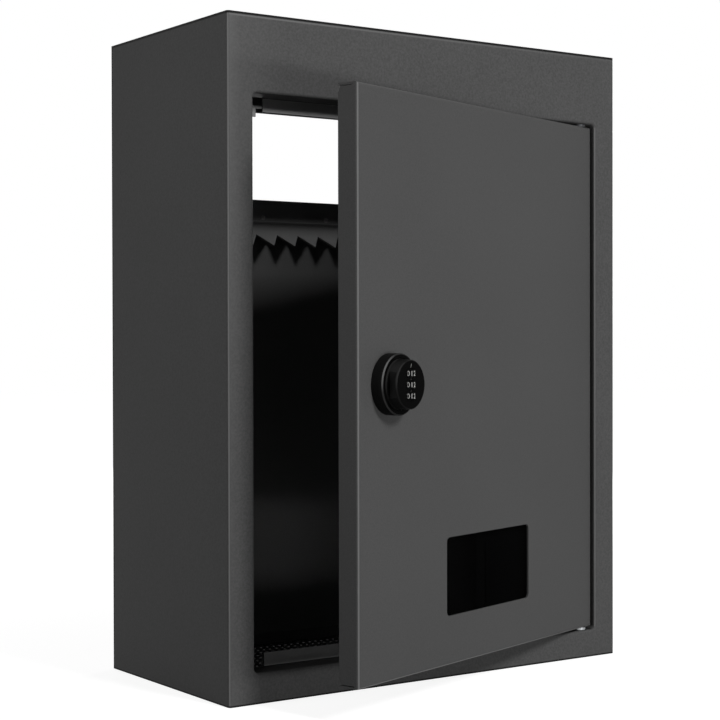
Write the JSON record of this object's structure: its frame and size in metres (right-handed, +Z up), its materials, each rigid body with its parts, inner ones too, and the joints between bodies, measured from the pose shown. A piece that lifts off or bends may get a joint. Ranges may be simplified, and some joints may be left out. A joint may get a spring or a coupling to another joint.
{
  "type": "locking drop box",
  "caption": "Wall-mounted locking drop box in folded sheet steel: rear chute slot over a serrated baffle, hinged front door with a window and a dial combination cam lock.",
  "frame": {"origin": "middle of the case's base, on the surface it stands on", "axes": "+X to the right seen from the front, +Y to the back, +Z up; the front face is at y = -0.076"},
  "size_m": [0.31, 0.2453, 0.414],
  "materials": {
    "powder_coated_steel": "fine-textured dark grey powder coat, satin",
    "rubber_mat": "moulded dimples, matt",
    "zinc_plated_steel": "bright zinc plate",
    "gasket_foam": "matt closed-cell foam",
    "tinted_acrylic": "polished, almost opaque black",
    "black_lock_enamel": "black, semi-gloss",
    "dial_plastic": "black with white figures"
  },
  "bodies": {
    "case": {"front_shell": "powder_coated_steel", "top_panel": "powder_coated_steel", "bottom_panel": "powder_coated_steel", "back_panel": "powder_coated_steel", "serrated_baffle": "powder_coated_steel", "floor_mat": "rubber_mat"},
    "door": {"door_panel": "powder_coated_steel", "upper_hinge_pin": "zinc_plated_steel", "lower_hinge_pin": "zinc_plated_steel", "upper_hinge_washer": "zinc_plated_steel", "lower_hinge_washer": "zinc_plated_steel", "upper_hinge_clip": "zinc_plated_steel", "lower_hinge_clip": "zinc_plated_steel", "window_gasket": "gasket_foam", "window_pane": "tinted_acrylic", "lock_housing": "black_lock_enamel", "lock_washer": "zinc_plated_steel", "lock_nut": "zinc_plated_steel"},
    "lock_core": {"lock_knob": "black_lock_enamel", "lock_faceplate": "black_lock_enamel", "lock_spindle": "zinc_plated_steel", "dial_axle": "zinc_plated_steel", "detent_balls": "zinc_plated_steel", "detent_springs": "zinc_plated_steel", "cam_washer": "zinc_plated_steel", "cam_plate": "zinc_plated_steel", "cam_screw": "zinc_plated_steel"},
    "top_dial": {"dial_top": "dial_plastic"},
    "middle_dial": {"dial_middle": "dial_plastic"},
    "bottom_dial": {"dial_bottom": "dial_plastic"}
  },
  "joints": [
    {"name": "door_hinge", "type": "hinge", "parent": "case", "child": "door", "pos_m": [0.127, -0.071, 0], "axis": [0, 0, 1], "range_deg": [-18.75, 91.25]},
    {"name": "knob_turn", "type": "hinge", "parent": "door", "child": "lock_core", "pos_m": [-0.09108, -0.15031, 0.193], "axis": [0.3214, -0.9469, 0], "range_deg": [0, 90]},
    {"name": "top_dial_turn", "type": "hinge", "parent": "lock_core", "child": "top_dial", "pos_m": [-0.08653, -0.16371, 0.1995], "axis": [0, 0, 1], "continuous": true},
    {"name": "middle_dial_turn", "type": "hinge", "parent": "lock_core", "child": "middle_dial", "pos_m": [-0.08653, -0.16371, 0.193], "axis": [0, 0, 1], "continuous": true},
    {"name": "bottom_dial_turn", "type": "hinge", "parent": "lock_core", "child": "bottom_dial", "pos_m": [-0.08653, -0.16371, 0.1865], "axis": [0, 0, 1], "continuous": true}
  ]
}
